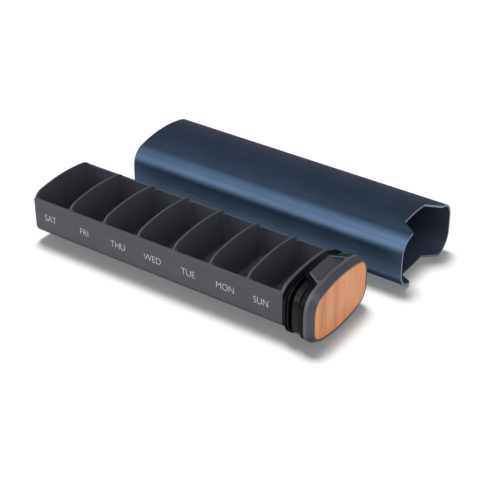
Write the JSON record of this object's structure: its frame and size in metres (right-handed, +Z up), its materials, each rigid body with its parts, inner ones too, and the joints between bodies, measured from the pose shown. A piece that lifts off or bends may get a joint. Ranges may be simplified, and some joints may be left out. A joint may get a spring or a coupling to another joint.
{
  "type": "pill organizer",
  "caption": "Sealed weekly pill case: an open tray of day cells on a plug with a lip seal and a wood-faced cap, beside the rounded metal sleeve that it slides into.",
  "frame": {"origin": "on the table, under the middle of the box round the tray and the sleeve that lies beside it", "axes": "+X along the tray from its free end to the cap, +Y from the tray to the sleeve, +Z up"},
  "size_m": [0.1834, 0.118, 0.033],
  "materials": {
    "anodised_sleeve": "fine satin anodised, dark navy blue",
    "sealant": "cured sealant, black",
    "tray_plastic": "fine matt moulded, dark grey",
    "collar_plastic": "satin moulded, black",
    "seal_rubber": "satin moulded rubber, black",
    "cap_plastic": "satin moulded, grey",
    "inlay_wood": "oiled, fine upright grain",
    "adhesive_film": "thin adhesive film",
    "screw_steel": "plated"
  },
  "bodies": {
    "tray": {"pill_tray": "tray_plastic", "plug_collar": "collar_plastic", "lip_seal": "seal_rubber", "face_gasket": "seal_rubber", "end_cap": "cap_plastic", "wood_inlay": "inlay_wood", "inlay_film": "adhesive_film", "cap_screws": "screw_steel"},
    "sleeve": {"sleeve_shell": "anodised_sleeve", "sleeve_end_plate": "anodised_sleeve", "end_plate_sealant": "sealant"}
  },
  "joints": [
    {"name": "sleeve_slide", "type": "slide", "parent": "tray", "child": "sleeve", "axis": [-1, 0, 0], "range_m": [0, 0.1662]}
  ]
}
